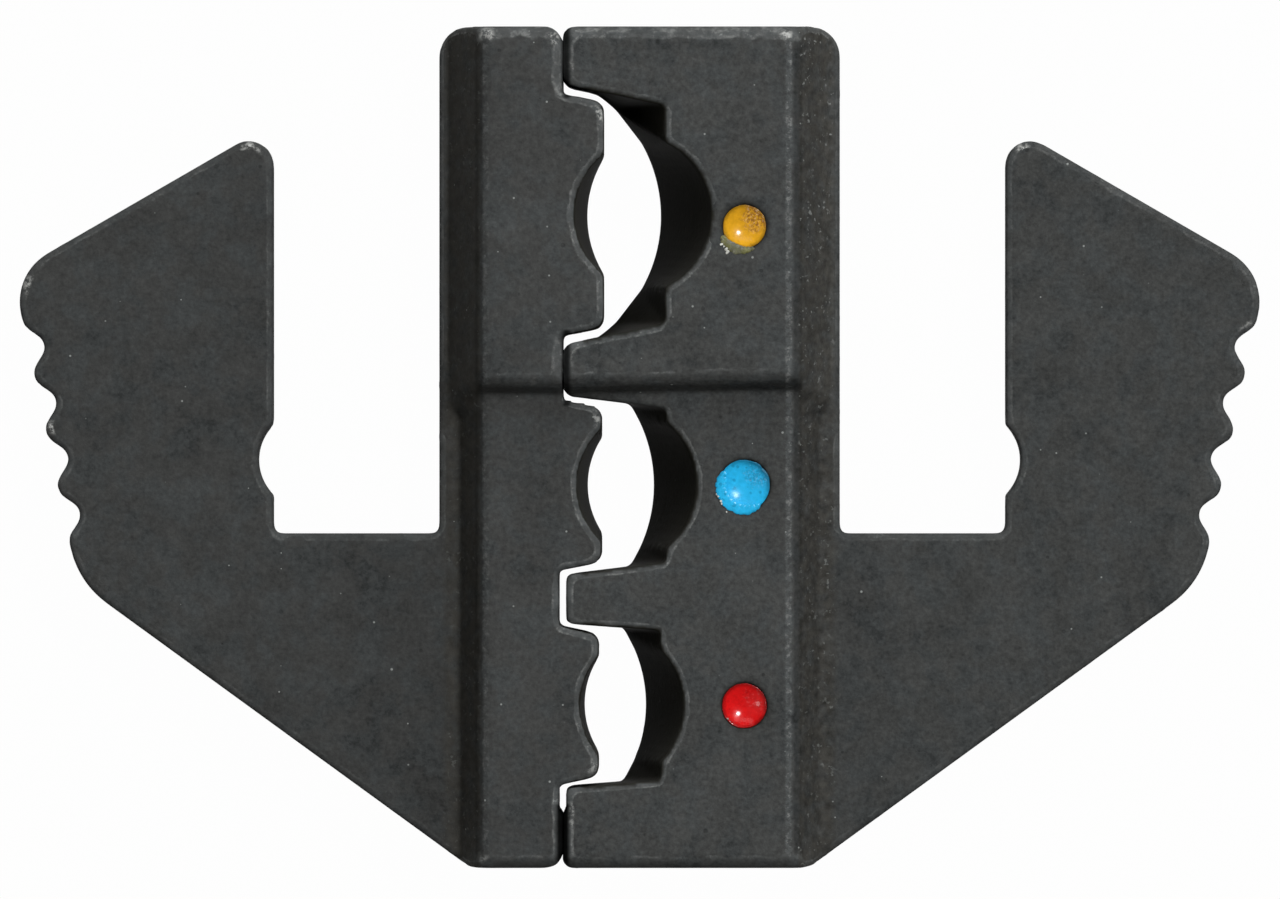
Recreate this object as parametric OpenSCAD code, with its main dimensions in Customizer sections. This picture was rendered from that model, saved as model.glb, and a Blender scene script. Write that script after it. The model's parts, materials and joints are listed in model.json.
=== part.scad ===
// Quick-change crimp die set for insulated terminals, in millimetres.
// Two steel halves lie closed on their backs: the indenter half on the left,
// the nest half on the right. Each is a thick crimp block with a thinner wing
// plate whose slot hangs on the pin of the crimping tool. X runs across the
// parting line, Y along it, Z from the conductor side to the insulation side.

/* [Die set] */
// Height of the halves along the parting line
die_h = 37.9; // [37:0.1:42]
// Width over the two finger grips when the set is closed
span = 56; // [55.4:0.1:58]
// Distance of the parting line from the middle of the set
parting_offset = 3.45; // [3:0.05:3.9]
// Clearance between the contact lands when the set is closed
land_gap = 0.04; // [0.02:0.01:0.1]
// Setback of the nest half's teeth that don't touch the indenter half
tooth_setback = 0.12; // [0.04:0.02:0.3]
// Setback of the indenter half opposite those teeth
gap_setback = 0.15; // [0.04:0.01:0.4]
// Length of the contact land at the bottom end
land_len = 2.5; // [1.5:0.1:3]
// Width of the chamfer along the front edges of the parting faces
land_chamfer = 0.25; // [0.1:0.05:0.4]

/* [Crimp blocks] */
// Thickness at the blue and red stations
block_t = 10; // [9:0.25:11]
// Extra thickness of the raised yellow station
raised_step = 1.6; // [0.8:0.1:2]
// Place of the raised station's lower edge above the middle
raised_y = 2.82; // [2.6:0.02:3.1]
// Place of the lower end of the raised station's shoulders above the middle
raised_foot = 1.7; // [1.2:0.1:2.1]
// Distance of the slot-side walls from the middle of the set
block_reach = 9.04; // [8.96:0.02:9.3]
// Distance of the front face's side edges from the middle of the set
face_reach = 7.17; // [6.9:0.05:7.2]
// Slope of the shoulders and of the raised station's end
shoulder_angle = 72; // [70:0.5:78]
// Width of the broken edges round the front faces
edge_break = 0.35; // [0.1:0.05:0.5]
// Radius of the slot-side corners at the top
top_r = 1.25; // [0.5:0.05:1.5]
// Radius of the nest half's corners on the parting line
nest_corner_r = 0.45; // [0.2:0.05:0.8]
// Radius of the indenter half's corners on the parting line
indenter_corner_r = 0.8; // [0.3:0.05:1]
// Depth of the straight conductor stage behind each station
conductor_depth = 3.5; // [2.5:0.25:5]

/* [Wing plates] */
// Thickness of the wing plates
plate_t = 4; // [3:0.25:5]
// Height of the wing plates above the back of the blocks
plate_lift = 3; // [2:0.25:3.5]
// Width of the slots
slot_w = 7.5; // [6.5:0.1:8]
// Place of the slot floors below the middle
slot_floor = 3.88; // [3:0.02:5]
// Radius of the slots' bottom corners
slot_r = 0.3; // [0.1:0.05:0.6]
// Place of the wing tip's sharp corner above the middle
tip_y = 14.65; // [14:0.05:15.5]
// Radius of the wing tips
tip_r = 1.1; // [0.5:0.05:1.3]
// Radius of the wing's shoulder above the finger grip
shoulder_r = 2.5; // [1.5:0.1:2.6]
// Place of the centre of the shoulder's arc above the middle
shoulder_y = 6.59; // [6.4:0.05:8]
// Place of the corner between the finger grip and the flank below the middle
flank_y = 6.09; // [6:0.05:8]
// Distance of the flank's lower end from the middle of the set
flank_foot = 7.66; // [7.3:0.02:8.2]
// Radius between the finger grip and the flank
flank_r = 4.1; // [2:0.1:4.2]
// Radius of the flank's lower corner
foot_r = 1.2; // [0.4:0.1:1.5]

/* [Finger grip] */
// Number of scallops
grip_count = 4; // [2:1:4]
// Distance between neighbouring scallops
grip_pitch = 2.58; // [2.54:0.01:2.62]
// Depth of the scallops
grip_depth = 0.75; // [0.5:0.01:0.76]
// Rounding of the scallops and of the ridges between them
grip_r = 0.62; // [0.4:0.02:0.64]
// Lean of the grip from the parting direction
grip_angle = 12; // [8:0.1:13]
// Place of the topmost scallop above the middle
grip_y = 4.49; // [4.2:0.05:4.8]

/* [Detent notch] */
// Radius of the notch in the slot wall
notch_r = 2.2; // [1.5:0.1:2.6]
// Depth of the notch
notch_depth = 0.68; // [0.3:0.02:1]
// Place of the notch below the middle
notch_y = 0.56; // [0:0.05:1.2]

/* [Yellow station] */
// Place of the station above the middle
yellow_y = 10.48; // [10.3:0.02:10.7]
// Width of the nest's mouth at the parting line
yellow_mouth = 11.7; // [11.3:0.05:11.9]
// Width of the nest between its shoulders
yellow_width = 9.8; // [9:0.1:10.2]
// Depth of the nest's shoulders
yellow_shoulder = 4.6; // [4.4:0.05:4.9]
// Depth of the insulation lobe
yellow_depth = 6.7; // [6.2:0.05:6.9]
// Depth of the conductor nest
yellow_conductor = 4.42; // [4:0.02:4.6]
// Radius of the conductor nest
yellow_arc_r = 6.7; // [6.3:0.05:7]
// Width of the indenter at the parting line
yellow_indenter = 10.85; // [10.6:0.05:11]
// Reach of the indenter past the parting line
yellow_reach = 1.85; // [1.6:0.05:2]
// Depth of the indenter's insulation groove
yellow_groove = 1.35; // [1.1:0.05:1.5]
// Depth of the indenter's conductor groove
yellow_groove_back = 0.77; // [0.4:0.01:0.9]
// Radius of the indenter's conductor groove
yellow_groove_r = 5; // [4:0.1:6]

/* [Blue station] */
// Place of the station below the middle
blue_y = 1.7; // [1.6:0.02:1.8]
// Width of the nest's mouth at the parting line
blue_mouth = 8.1; // [8:0.05:8.35]
// Width of the nest between its shoulders
blue_width = 6.95; // [6.7:0.05:7.3]
// Depth of the nest's shoulders
blue_shoulder = 4.66; // [4.4:0.02:4.8]
// Depth of the insulation lobe
blue_depth = 6.04; // [5.8:0.02:6.2]
// Depth of the conductor nest
blue_conductor = 4.1; // [3.9:0.02:4.3]
// Radius of the conductor nest
blue_arc_r = 6.7; // [6.2:0.05:7]
// Width of the indenter at the parting line
blue_indenter = 7.65; // [7.5:0.05:7.75]
// Reach of the indenter past the parting line
blue_reach = 1.76; // [1.6:0.02:1.9]
// Depth of the indenter's insulation groove
blue_groove = 1.15; // [1:0.05:1.3]
// Depth of the indenter's conductor groove
blue_groove_back = 0.66; // [0.4:0.02:0.8]
// Radius of the indenter's conductor groove
blue_groove_r = 3.9; // [3.5:0.1:4.6]

/* [Red station] */
// Place of the station below the middle
red_y = 11.63; // [11.5:0.02:11.7]
// Width of the nest's mouth at the parting line
red_mouth = 7.4; // [7.3:0.05:7.55]
// Width of the nest between its shoulders
red_width = 6.75; // [6.5:0.05:6.9]
// Depth of the nest's shoulders
red_shoulder = 4.42; // [4.2:0.02:4.6]
// Depth of the insulation lobe
red_depth = 5.45; // [5.2:0.02:5.6]
// Depth of the conductor nest
red_conductor = 3.74; // [3.5:0.02:3.9]
// Radius of the conductor nest
red_arc_r = 6.3; // [5.8:0.05:6.6]
// Width of the indenter at the parting line
red_indenter = 7.1; // [6.8:0.05:7.15]
// Reach of the indenter past the parting line
red_reach = 1.62; // [1.5:0.02:1.8]
// Depth of the indenter's insulation groove
red_groove = 0.86; // [0.8:0.02:1.1]
// Depth of the indenter's conductor groove
red_groove_back = 0.66; // [0.4:0.02:0.72]
// Radius of the indenter's conductor groove
red_groove_r = 3.9; // [3.5:0.1:4.4]

/* [Nests and indenters] */
// Radius of the insulation lobes
lobe_r = 3.55; // [3.3:0.05:3.7]
// Radius of the teeth's corners beside the nests
tooth_r = 0.55; // [0.3:0.05:0.7]
// Rounding where a nest's shoulder meets its side and its lobe
nest_fillet = 0.15; // [0.1:0.01:0.25]
// Narrowing of each side of an indenter towards its end
indenter_taper = 0.35; // [0.2:0.05:0.5]
// Radius of the indenters' outer corners
indenter_r = 0.6; // [0.4:0.05:0.8]
// Radius of the insulation groove in the indenters
insulation_groove_r = 3.4; // [3:0.1:4]
// Rounding of the grooves' lips
groove_lip = 0.5; // [0.2:0.05:0.6]

/* [Colour marks] */
// Distance of the marks from the middle of the set
mark_x = 4.72; // [4.6:0.02:5]
// Diameter of the yellow mark
yellow_mark_d = 2; // [1.6:0.05:2.4]
// Drop of the yellow mark below its station
yellow_mark_drop = 0.54; // [0:0.02:0.8]
// Diameter of the blue mark
blue_mark_d = 2.35; // [1.8:0.05:2.6]
// Diameter of the red mark
red_mark_d = 2.07; // [1.6:0.05:2.4]
// Depth of the dimples that hold the paint
dimple_depth = 0.35; // [0.3:0.05:0.6]
// Sinking of the paint's middle below the face
paint_dish = 0.2; // [0.1:0.01:0.25]
// Width of the flat rim of the paint
paint_rim = 0.08; // [0.04:0.01:0.2]
// Clearance of the paint from the dimple's wall
paint_gap = 0.01; // [0.01:0.01:0.05]

/* [Hidden] */
steel = [0.26, 0.27, 0.27];
arc_step = 8;
flank_pieces = 8;
notch_fn = 96;
dimple_fn = 64;
dish_fn = 128;
ridge_slope = 45;
cut = 1;
skim = land_gap / 2;
bed_steps = 12;
lip_steps = 6;
parting_x = -parting_offset;
top_y = die_h / 2;
plate_top = plate_lift + plate_t;
slot_out = block_reach + slot_w;
raised_t = block_t + raised_step;
shoulder_run = 1 / tan(shoulder_angle);
block_foot = face_reach + (block_t - plate_top) * shoulder_run;
raised_block_foot = face_reach + (raised_t - plate_top) * shoulder_run;
step_foot = raised_y - raised_step * shoulder_run;

// One row per station: its place and thickness, its nest, its indenter
stations = [
    [
        [yellow_y, raised_t],
        [yellow_mouth, yellow_width, yellow_shoulder, yellow_depth, yellow_conductor, yellow_arc_r],
        [yellow_indenter, yellow_reach, yellow_groove, yellow_groove_back, yellow_groove_r]
    ],
    [
        [-blue_y, block_t],
        [blue_mouth, blue_width, blue_shoulder, blue_depth, blue_conductor, blue_arc_r],
        [blue_indenter, blue_reach, blue_groove, blue_groove_back, blue_groove_r]
    ],
    [
        [-red_y, block_t],
        [red_mouth, red_width, red_shoulder, red_depth, red_conductor, red_arc_r],
        [red_indenter, red_reach, red_groove, red_groove_back, red_groove_r]
    ]
];
function station_y(s) = s[0][0];
function face_z(s) = s[0][1];
function mouth(s) = s[1][0] / 2;
function width(s) = s[1][1] / 2;
function shoulder(s) = s[1][2];
function lobe_depth(s) = s[1][3];
function arc_depth(s) = s[1][4];
function arc_r(s) = s[1][5];
function indenter_w(s) = s[2][0] / 2;
function indenter_end(s) = parting_offset - s[2][1];
function insulation_groove(s) = s[2][2];
function conductor_groove(s) = s[2][3];
function conductor_groove_r(s) = s[2][4];

function xy(p) = [p.x, p.y];
function unit(v) = v / norm(v);
function along(angle) = [cos(angle), sin(angle)];
function crossing(p, a, q, b) = p + along(a) * cross(q - p, along(b)) / cross(along(a), along(b));
function arc(centre, r, from, to, steps = 0) =
    let (n = steps > 0 ? steps : ceil(abs(to - from) / arc_step))
    [for (i = [0:n]) centre + r * along(from + (to - from) * i / n)];

// Points of a rounded corner c between the directions u and v
function fillet(c, u, v, r, steps) =
    let (
        half = acos(u * v) / 2,
        centre = c + unit(u + v) * r / sin(half),
        start = c + u * r / tan(half) - centre,
        from = atan2(start.y, start.x),
        turn = (180 - 2 * half) * (cross(u, v) < 0 ? 1 : -1)
    )
    arc(centre, r, from, from + turn, steps);

// Outline through corners [x, y, r], each rounded to its radius r
function rounded(corners, steps = 0) =
    let (n = len(corners))
    [for (i = [0:n - 1])
        let (
            c = xy(corners[i]),
            u = unit(xy(corners[(i + n - 1) % n]) - c),
            v = unit(xy(corners[(i + 1) % n]) - c)
        )
        each corners[i][2] == 0 ? [c] : fillet(c, u, v, corners[i][2], steps)];

// Corners without rounding that divide the stretch between p and q
function between(p, q) =
    [for (k = [1:flank_pieces - 1]) let (c = p + (q - p) * k / flank_pieces) [c.x, c.y, 0]];

// Top edge of the wing: the tangent from the tip's corner to the shoulder's arc
tip_corner = [slot_out, tip_y];
shoulder_centre = [span / 2 - shoulder_r, shoulder_y];
tip_to_centre = shoulder_centre - tip_corner;
tip_dir = atan2(tip_to_centre.y, tip_to_centre.x) + asin(shoulder_r / norm(tip_to_centre));

// Finger grip: a leaning ridge line that leaves the shoulder's arc
ridge_start = shoulder_centre + shoulder_r * along(-grip_angle);
ridge_dir = -90 - grip_angle;
shoulder_corner = crossing(tip_corner, tip_dir, ridge_start, ridge_dir);
flank_corner = crossing(ridge_start, ridge_dir, [0, -flank_y], 0);
scallop_depth = grip_depth + grip_r * (1 / cos(ridge_slope) - 1);
scallop_step = grip_pitch * cos(grip_angle);

// Point at height y, sunk by depth behind the ridge line
function grip_point(y, depth) =
    crossing(ridge_start, ridge_dir, [0, y], 0) - depth * along(-grip_angle);
function grip_corner(i, shift, depth) =
    let (p = grip_point(grip_y - i * scallop_step, depth) + shift * along(ridge_dir))
    [p.x, p.y, grip_r];
grip_corners = [for (i = [0:grip_count - 1]) each [
    grip_corner(i, -scallop_depth, 0),
    grip_corner(i, 0, scallop_depth),
    grip_corner(i, scallop_depth, 0)
]];

// Outline of a half from its parting face outwards
function half_outline(inner_x, inner_r) = rounded(concat(
    [
        [inner_x, top_y, inner_r],
        [block_reach, top_y, top_r],
        [block_reach, -slot_floor, slot_r],
        [slot_out, -slot_floor, slot_r],
        [slot_out, tip_y, tip_r],
        [shoulder_corner.x, shoulder_corner.y, shoulder_r]
    ],
    grip_corners,
    [
        [flank_corner.x, flank_corner.y, flank_r],
        [flank_foot, -top_y, foot_r],
        [inner_x, -top_y, inner_r]
    ]
));

// Cross-section of a block up to z1, with the foot of its shoulder at foot_x on
// the wing plate and the edges of its front face broken
module block_section(inner_x, z0, z1, foot_x) {
    lean = (foot_x - face_reach) / (z1 - plate_top);
    back = z0 == 0 ? [[face_reach, 0], [face_reach + plate_lift * shoulder_run, plate_lift]] : [];
    rotate([90, 0, 0])
        linear_extrude(height = die_h + 2 * cut, center = true)
            polygon(concat([[inner_x, z0]], back, [
                [foot_x, plate_top],
                [face_reach + edge_break * lean, z1 - edge_break],
                [face_reach - edge_break, z1],
                [inner_x + land_chamfer, z1],
                [inner_x, z1 - land_chamfer]
            ]));
}

// Section along a block up to z1, from the points of its lower end to its top end
module length_section(lower_end, z1) {
    last = lower_end[len(lower_end) - 1];
    rotate([90, 0, 90])
        linear_extrude(height = span, center = true)
            polygon(concat(lower_end, [
                [last.x + edge_break, z1],
                [top_y - edge_break, z1],
                [top_y, z1 - edge_break],
                [top_y, lower_end[0].y]
            ]));
}

// Part of the block between z0 and z1 that lies in the half's outline
module block(outline, inner_x, z0, z1, foot_x, lower_end) {
    intersection() {
        linear_extrude(height = z1)
            polygon(outline);
        block_section(inner_x, z0, z1, foot_x);
        length_section(lower_end, z1);
    }
}

// Plain half on the +X side: wing plate, block, raised station and its shoulder's end
module half(inner_x, inner_r) {
    outline = half_outline(inner_x, inner_r);
    difference() {
        union() {
            translate([0, 0, plate_lift])
                linear_extrude(height = plate_t)
                    polygon(outline);
            block(outline, inner_x, 0, block_t, block_foot, [
                [-top_y, 0],
                [-top_y, block_t - edge_break]
            ]);
            block(outline, inner_x, plate_top, block_t, raised_block_foot, [
                [raised_foot, plate_top],
                [raised_foot, block_t - edge_break]
            ]);
            block(outline, inner_x, plate_top, raised_t, raised_block_foot, [
                [step_foot, plate_top],
                [step_foot, block_t],
                [raised_y - edge_break * shoulder_run, raised_t - edge_break]
            ]);
        }
        translate([slot_out + notch_depth - notch_r, -notch_y, plate_lift - cut])
            cylinder(r = notch_r, h = plate_t + 2 * cut, $fn = notch_fn);
    }
}

// Closed body through a stack of rings with equal numbers of points
module skin(rings) {
    n = len(rings[0]);
    levels = len(rings);
    sides = [for (k = [0:levels - 2], i = [0:n - 1])
        let (a = k * n + i, b = k * n + (i + 1) % n)
        each [[a, a + n, b], [b, a + n, b + n]]];
    polyhedron(
        points = [for (ring = rings) each ring],
        faces = concat(
            [[for (i = [0:n - 1]) i]],
            sides,
            [[for (i = [n - 1:-1:0]) (levels - 1) * n + i]]
        )
    );
}
function at_z(ring, z) = [for (p = ring) [p.x, p.y, z]];

// Nest: the insulation profile, with u measured from the parting line
function nest_front(s) =
    let (
        chord = sqrt(lobe_r * lobe_r - pow(shoulder(s) - lobe_depth(s) + lobe_r, 2)),
        swing = asin(chord / lobe_r),
        lobe = arc([lobe_depth(s) - lobe_r, 0], lobe_r, -swing, swing),
        last = len(lobe) - 1,
        side = [shoulder(s), width(s)]
    )
    rounded(concat(
        [
            [-cut, -mouth(s) - cut, 0],
            [0, -mouth(s) - cut, 0],
            [0, -mouth(s), tooth_r]
        ],
        between([0, -mouth(s)], [side.x, -side.y]),
        [[side.x, -side.y, nest_fillet]],
        [for (i = [0:last]) [lobe[i].x, lobe[i].y, i == 0 || i == last ? nest_fillet : 0]],
        [[side.x, side.y, nest_fillet]],
        between(side, [0, mouth(s)]),
        [
            [0, mouth(s), tooth_r],
            [0, mouth(s) + cut, 0],
            [-cut, mouth(s) + cut, 0]
        ]
    ));

// Conductor profile behind it: each point moves straight back onto the arc
function arc_edge(s, v) =
    abs(v) < arc_r(s) ? arc_depth(s) - arc_r(s) + sqrt(arc_r(s) * arc_r(s) - v * v) : 0;
function nest_back(s) = [for (p = nest_front(s)) [min(p.x, max(0, arc_edge(s, p.y))), p.y]];

// Cavity of one station, straight at the back and flared towards the front
module nest_cavity(s) {
    front = nest_front(s);
    back = nest_back(s);
    translate([parting_x, station_y(s), 0])
        skin([
            at_z(back, -cut),
            at_z(back, conductor_depth),
            at_z(front, face_z(s)),
            at_z(front, face_z(s) + cut)
        ]);
}

// Indenter of one station on a half that lies on the +X side
module indenter(s, inner_x) {
    w = indenter_w(s);
    end_x = indenter_end(s);
    translate([0, station_y(s), 0])
        linear_extrude(height = face_z(s))
            polygon(rounded([
                [inner_x + cut, -w, 0],
                [inner_x, -w, 0],
                [end_x, -w + indenter_taper, indenter_r],
                [end_x, w - indenter_taper, indenter_r],
                [inner_x, w, 0],
                [inner_x + cut, w, 0]
            ]));
}

// Cross-section of a groove, sunk by depth below the indenter's end at end_x
function groove(end_x, depth, r) =
    let (
        sunk = depth + skim,
        chord = sqrt(2 * r * sunk - sunk * sunk),
        swing = asin(chord / r),
        bed = arc([end_x + depth - r, 0], r, -swing, swing, bed_steps),
        last = len(bed) - 1,
        lip_x = end_x - skim,
        lip_y = chord + 2 * groove_lip
    )
    rounded(concat(
        [[lip_x - cut, -lip_y, 0], [lip_x, -lip_y, 0]],
        [for (i = [0:last]) [bed[i].x, bed[i].y, i == 0 || i == last ? groove_lip : 0]],
        [[lip_x, lip_y, 0], [lip_x - cut, lip_y, 0]]
    ), lip_steps);

// Groove of one indenter, deep at the insulation end and shallow at the back
module indenter_groove(s) {
    front = groove(indenter_end(s), insulation_groove(s), insulation_groove_r);
    back = groove(indenter_end(s), conductor_groove(s), conductor_groove_r(s));
    translate([0, station_y(s), 0])
        skin([
            at_z(back, -cut),
            at_z(back, conductor_depth),
            at_z(front, face_z(s)),
            at_z(front, face_z(s) + cut)
        ]);
}

// Stretch of a parting face that stands back by depth between y0 and y1
module setback(inner_x, depth, y0, y1) {
    translate([inner_x - cut, y0, -cut])
        cube([cut + depth, y1 - y0, block_t + 2 * cut]);
}

module indenter_die() {
    inner_x = parting_offset + land_gap / 2;
    blue_end = station_y(stations[1]) - indenter_w(stations[1]);
    red_start = station_y(stations[2]) + indenter_w(stations[2]);
    red_end = station_y(stations[2]) - indenter_w(stations[2]);
    color(steel)
        mirror([1, 0, 0])
            difference() {
                union() {
                    difference() {
                        half(inner_x, indenter_corner_r);
                        setback(inner_x, gap_setback, red_start - cut, blue_end + cut);
                        setback(inner_x, gap_setback, land_len - top_y, red_end + cut);
                    }
                    for (s = stations) indenter(s, inner_x);
                }
                for (s = stations) indenter_groove(s);
            }
}

// Mark in the nest half: a dimple, and the paint that has dried hollow in it
module dimple(x, y, z, d) {
    translate([x, y, z - dimple_depth])
        cylinder(d = d, h = dimple_depth + cut, $fn = dimple_fn);
}
module paint(x, y, z, d) {
    r = d / 2 - paint_gap;
    hollow = r - paint_rim;
    dish_r = (hollow * hollow + paint_dish * paint_dish) / (2 * paint_dish);
    translate([x, y, z - dimple_depth])
        difference() {
            cylinder(r = r, h = dimple_depth, $fn = dimple_fn);
            translate([0, 0, dimple_depth - paint_dish + dish_r])
                sphere(r = dish_r, $fn = dish_fn);
        }
}

module nest_die() {
    inner_x = parting_x + land_gap / 2;
    blue = stations[1];
    red = stations[2];
    color(steel)
        difference() {
            half(inner_x, nest_corner_r);
            for (s = stations) nest_cavity(s);
            setback(inner_x, tooth_setback, station_y(red) + mouth(red), station_y(blue) - mouth(blue));
            setback(inner_x, tooth_setback, land_len - top_y, station_y(red) - mouth(red));
            dimple(mark_x, yellow_y - yellow_mark_drop, raised_t, yellow_mark_d);
            dimple(mark_x, -blue_y, block_t, blue_mark_d);
            dimple(mark_x, -red_y, block_t, red_mark_d);
        }
}

module yellow_mark() {
    color([0.88, 0.66, 0.1])
        paint(mark_x, yellow_y - yellow_mark_drop, raised_t, yellow_mark_d);
}

module blue_mark() {
    color([0.16, 0.62, 0.85])
        paint(mark_x, -blue_y, block_t, blue_mark_d);
}

module red_mark() {
    color([0.8, 0.13, 0.13])
        paint(mark_x, -red_y, block_t, red_mark_d);
}

indenter_die();
nest_die();
yellow_mark();
blue_mark();
red_mark();
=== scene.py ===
"""Crimp die set for insulated terminals: finish of the two halves, paint marks and studio."""

import json
import math

import bpy
import numpy as np
from bpy.props import FloatProperty, FloatVectorProperty, IntProperty, PointerProperty
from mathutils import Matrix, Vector

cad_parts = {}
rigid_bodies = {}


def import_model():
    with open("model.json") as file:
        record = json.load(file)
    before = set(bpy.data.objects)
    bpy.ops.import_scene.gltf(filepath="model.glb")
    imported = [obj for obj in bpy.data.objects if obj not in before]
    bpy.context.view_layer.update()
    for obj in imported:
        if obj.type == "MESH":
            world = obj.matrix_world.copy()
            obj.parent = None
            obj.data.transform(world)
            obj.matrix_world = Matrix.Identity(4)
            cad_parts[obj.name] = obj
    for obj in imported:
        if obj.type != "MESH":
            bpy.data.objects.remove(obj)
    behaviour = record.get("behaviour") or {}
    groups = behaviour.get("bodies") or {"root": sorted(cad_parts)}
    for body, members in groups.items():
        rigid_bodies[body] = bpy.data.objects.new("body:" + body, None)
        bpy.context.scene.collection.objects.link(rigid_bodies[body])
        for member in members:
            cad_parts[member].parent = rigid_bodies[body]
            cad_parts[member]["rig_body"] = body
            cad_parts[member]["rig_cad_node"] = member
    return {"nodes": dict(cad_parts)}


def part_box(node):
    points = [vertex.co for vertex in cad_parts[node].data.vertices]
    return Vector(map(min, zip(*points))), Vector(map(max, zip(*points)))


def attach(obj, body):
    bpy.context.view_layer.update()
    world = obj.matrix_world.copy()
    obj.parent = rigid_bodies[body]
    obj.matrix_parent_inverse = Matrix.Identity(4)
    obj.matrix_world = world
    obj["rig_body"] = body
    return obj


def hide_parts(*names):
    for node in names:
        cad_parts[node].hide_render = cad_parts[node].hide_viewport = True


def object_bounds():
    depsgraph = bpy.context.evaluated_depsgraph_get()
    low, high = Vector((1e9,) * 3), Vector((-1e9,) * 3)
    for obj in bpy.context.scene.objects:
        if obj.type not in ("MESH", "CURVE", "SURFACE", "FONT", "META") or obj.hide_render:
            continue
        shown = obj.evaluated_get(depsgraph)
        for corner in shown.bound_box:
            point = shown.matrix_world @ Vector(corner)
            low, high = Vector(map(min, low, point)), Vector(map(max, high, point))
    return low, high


bl_info = {
    "name": "Crimp Die Set",
    "version": (1, 0, 0),
    "blender": (4, 5, 0),
    "location": "3D View > Sidebar > Crimp Die",
    "description": "Finishes the halves of a crimp die set and its colour marks",
    "category": "Add Mesh",
}

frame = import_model()
CAD_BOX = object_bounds()
PARTING_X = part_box("nest_die")[0].x
MM = 0.001
TRIANGLE_LIMIT = 190000
SEAM_STEP = 0.2 * MM
MARK_MARGIN = 0.3 * MM
LOWEST_LAND = (-13 * MM, -11 * MM)
OUTLINE_WOBBLE = 0.22 * MM
LUMP_HEIGHT = 0.006 * MM
FLOOR_GAP = 0.05 * MM
VIEW_CENTRE = (0.02 * MM, -0.09 * MM)
VIEW_HEIGHT = 8.5 * MM
MARKS = ("yellow", "blue", "red")

# Places where handling has worn the edges bright, as (x, y, radius) in millimetres
WORN = (
    (-6.88, 18.55, 0.45), (-3.9, 18.4, 0.4), (-1.96, 14.95, 0.55), (-3.05, 17.2, 0.4), (-6.79, 3.13, 0.4),
    (-4.71, 2.95, 0.3), (-2.87, 4.1, 0.4), (-2.01, 1.19, 0.4), (-2.23, -14.4, 0.5), (-2.9, -16.6, 0.8),
    (6.6, 18.55, 0.4), (-17.56, 13.4, 0.6), (-27.4, 7.3, 0.6), (-6.95, -18.6, 0.3), (17.3, 13.5, 0.4),
    (27.4, 5.4, 0.5), (-26.5, 0.9, 0.4),
)

# What ran over beside each mark, as (x, y, radius) in millimetres from the mark's middle:
# a thin film, paint of the mark's own colour and pale flecks, whose pale colour also paints small glints
FILM = {
    "yellow": (
        (-0.96, -0.5, 0.11), (-0.88, -0.66, 0.16), (-0.74, -0.8, 0.21), (-0.56, -0.92, 0.23),
        (-0.38, -1.0, 0.23), (-0.2, -1.04, 0.2), (-0.02, -1.06, 0.17), (0.16, -1.04, 0.14),
        (0.34, -1.0, 0.1),
    ),
}
SPILL = {
    "blue": (
        (-0.94, 0.48, 0.16), (-1.02, 0.24, 0.24), (-1.06, 0.0, 0.25), (-1.04, -0.22, 0.24),
        (-0.97, -0.42, 0.24), (-0.86, -0.62, 0.25), (-0.72, -0.8, 0.25), (-0.54, -0.94, 0.25),
        (-0.32, -1.04, 0.26), (-0.08, -1.1, 0.26), (0.16, -1.09, 0.24), (0.38, -1.03, 0.2),
        (0.58, -0.94, 0.15),
    ),
}
FLECKS_AND_GLINTS = {
    "yellow": ((-1.02, -0.8, 0.07), (-0.96, -0.92, 0.05), (-0.84, -1.04, 0.06), (-0.76, -1.14, 0.07)),
    "blue": (
        (-1.24, -0.4, 0.05), (-1.17, -0.5, 0.05), (-1.08, -0.74, 0.06), (-1.02, -0.84, 0.05),
        (-0.8, -1.2, 0.04),
    ),
    "red": ((-0.76, -0.6, 0.04),),
}
SPILL_HEIGHT = 0.03
FLECK_HEIGHT = 0.045

# How each paint has dried: dirt, which on the blue mark is painted shade and on the red a darker patch,
# pinholes, roughness, specular level and wobble of its border
DIRT_AND_SHADE = {"yellow": 1.0, "blue": 0.5, "red": 0.15}
PINHOLES = {"yellow": 0.1, "blue": 0.4, "red": 0.2}
GLOSS = {"yellow": 0.14, "blue": 0.18, "red": 0.12}
SHINE = {"yellow": 0.25, "blue": 0.12, "red": 0.25}
WOBBLE = {"yellow": 0.25, "blue": 0.3, "red": 0.25}

# Radii of the rings that hollow the paint out, as shares of its own
DISH_RINGS = (0.93, 0.82, 0.68, 0.53, 0.38, 0.24, 0.1)

# Direction, distance, and width and height of each lamp, in metres
LAMPS = {
    "key": ((0.24, 0.24, 0.94), 0.6, (0.028, 0.028)),
    "top": ((0.1, 0.9, 0.43), 0.5, (0.3, 0.3)),
    "right": ((0.9, 0.15, 0.4), 0.5, (0.25, 0.25)),
    "fill": ((-0.42, -0.1, 0.9), 0.6, (0.5, 0.5)),
    "glint": ((-0.42, -0.1, 0.9), 0.4, (0.045, 0.045)),
    "strip": ((0.05, 0.45, 0.89), 0.6, (0.4, 0.09)),
}


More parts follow.
